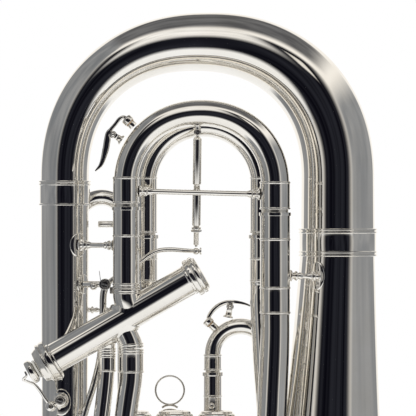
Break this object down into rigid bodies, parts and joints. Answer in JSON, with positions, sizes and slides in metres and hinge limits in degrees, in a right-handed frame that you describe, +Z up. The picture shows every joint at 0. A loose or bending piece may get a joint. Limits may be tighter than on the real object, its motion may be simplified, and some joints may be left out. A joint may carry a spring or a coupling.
{
  "type": "tuba",
  "caption": "Silver-plated compensating tuba standing on its bell: upright valves, a side valve with lock, tuning slides, water keys and a trigger on the main slide.",
  "frame": {"origin": "on the floor under the middle of the instrument's bounding box, at the height of the bell rim", "axes": "+Z up along the instrument's length from the bell rim to the bottom bow, +X from the fourth valve's button towards the bell, -Y towards the side that carries the valves"},
  "size_m": [0.4588, 0.381, 0.8601],
  "materials": {
    "silver_plate": "bright silver plate, polished",
    "nickel_silver": "lapped nickel-silver piston",
    "spring_steel": "drawn spring wire"
  },
  "bodies": {
    "root": {"bell": "silver_plate", "bottom_bow": "silver_plate", "bow_ferrule_left": "silver_plate", "bow_ferrule_right": "silver_plate", "brace_bell": "silver_plate", "brace_outer_branch": "silver_plate", "compensating_tube": "silver_plate", "inner_branch": "silver_plate", "leadpipe": "silver_plate", "lock_bracket": "silver_plate", "main_slide_tube_left": "silver_plate", "main_slide_tube_right": "silver_plate", "mouthpiece_receiver": "silver_plate", "outer_branch": "silver_plate", "slide_2_tubes": "silver_plate", "slide_3_tubes": "silver_plate", "slide_4_tube": "silver_plate", "small_bow": "silver_plate", "trigger_bracket": "silver_plate", "valve_1_bottom_cap": "silver_plate", "valve_1_casing": "silver_plate", "valve_1_spring": "spring_steel", "valve_1_top_cap": "silver_plate", "valve_2_bottom_cap": "silver_plate", "valve_2_casing": "silver_plate", "valve_2_spring": "spring_steel", "valve_2_top_cap": "silver_plate", "valve_3_bottom_cap": "silver_plate", "valve_3_casing": "silver_plate", "valve_3_spring": "spring_steel", "valve_3_top_cap": "silver_plate", "valve_4_bottom_cap": "silver_plate", "valve_4_casing": "silver_plate", "valve_4_feed_tube": "silver_plate", "valve_4_spring": "spring_steel", "valve_4_top_cap": "silver_plate"},
    "main_slide": {"main_slide_crook": "silver_plate", "main_slide_brace": "silver_plate", "trigger_eye": "silver_plate", "main_water_key_saddle": "silver_plate"},
    "main_water_key": {"main_water_key_lever": "silver_plate"},
    "trigger_rod": {"trigger_rod": "silver_plate"},
    "trigger_lever": {"trigger_lever": "silver_plate"},
    "slide_1": {"slide_1_crook": "silver_plate", "first_water_key_saddle": "silver_plate"},
    "first_water_key": {"first_water_key_lever": "silver_plate"},
    "slide_2": {"slide_2_crook": "silver_plate", "slide_2_pull_ring": "silver_plate"},
    "slide_3": {"slide_3_crook": "silver_plate"},
    "slide_4": {"slide_4_crook": "silver_plate"},
    "lock_lever": {"lock_lever": "silver_plate"},
    "valve_1": {"valve_1_piston": "nickel_silver", "valve_1_button": "silver_plate"},
    "valve_2": {"valve_2_piston": "nickel_silver", "valve_2_button": "silver_plate"},
    "valve_3": {"valve_3_piston": "nickel_silver", "valve_3_button": "silver_plate"},
    "valve_4": {"valve_4_piston": "nickel_silver", "valve_4_button": "silver_plate"}
  },
  "joints": [
    {"name": "main_slide_travel", "type": "slide", "parent": "root", "child": "main_slide", "axis": [0, 0, 1], "range_m": [0, 0.016], "stiffness_N_per_m": 150, "springref_m": -0.02},
    {"name": "trigger_lever_turn", "type": "hinge", "parent": "root", "child": "trigger_lever", "pos_m": [-0.15356, -0.0263, 0.6107], "axis": [0, -1, 0], "range_deg": [0, 11.6]},
    {"name": "trigger_rod_swing", "type": "hinge", "parent": "main_slide", "child": "trigger_rod", "pos_m": [-0.06896, -0.0425, 0.7495], "axis": [0, 1, 0], "range_deg": [0, 4.4]},
    {"name": "main_water_key_open", "type": "hinge", "parent": "main_slide", "child": "main_water_key", "pos_m": [-0.14586, -0.0465, 0.7474], "axis": [0, -1, 0], "range_deg": [0, 15], "stiffness_Nm_per_rad": 0.03, "springref_deg": -20.05},
    {"name": "slide_1_pull", "type": "slide", "parent": "root", "child": "slide_1", "axis": [0, 0, 1], "range_m": [0, 0.03]},
    {"name": "first_water_key_open", "type": "hinge", "parent": "slide_1", "child": "first_water_key", "pos_m": [-0.03906, 0.014, 0.5896], "axis": [0, 1, 0], "range_deg": [0, 15], "stiffness_Nm_per_rad": 0.03, "springref_deg": -20.05},
    {"name": "slide_2_pull", "type": "slide", "parent": "root", "child": "slide_2", "axis": [0, 0, 1], "range_m": [0, 0.025]},
    {"name": "slide_3_pull", "type": "slide", "parent": "root", "child": "slide_3", "axis": [0, 0, 1], "range_m": [0, 0.035]},
    {"name": "slide_4_pull", "type": "slide", "parent": "root", "child": "slide_4", "axis": [0, 0, 1], "range_m": [0, 0.03]},
    {"name": "valve_4_release", "type": "slide", "parent": "root", "child": "valve_4", "axis": [-0.8634, 0, -0.5045], "range_m": [0, 0.019]},
    {"name": "lock_lever_turn", "type": "hinge", "parent": "root", "child": "lock_lever", "pos_m": [-0.19406, -0.0362, 0.5049], "axis": [0, -1, 0], "range_deg": [0, 43.5]},
    {"name": "valve_1_press", "type": "slide", "parent": "root", "child": "valve_1", "axis": [0, 0, 1], "range_m": [0, 0.019], "stiffness_N_per_m": 60, "springref_m": -0.02, "deforming": ["valve_1_spring"]},
    {"name": "valve_2_press", "type": "slide", "parent": "root", "child": "valve_2", "axis": [0, 0, 1], "range_m": [0, 0.019], "stiffness_N_per_m": 60, "springref_m": -0.02, "deforming": ["valve_2_spring"]},
    {"name": "valve_3_press", "type": "slide", "parent": "root", "child": "valve_3", "axis": [0, 0, 1], "range_m": [0, 0.019], "stiffness_N_per_m": 60, "springref_m": -0.02, "deforming": ["valve_3_spring"]}
  ],
  "couplings": [
    {"joint": "trigger_lever_turn", "follows": "main_slide_travel", "rad_per_m": 12.56},
    {"joint": "trigger_rod_swing", "follows": "main_slide_travel", "rad_per_m": 4.66},
    {"joint": "lock_lever_turn", "follows": "valve_4_release", "rad_per_m": 39.5}
  ]
}
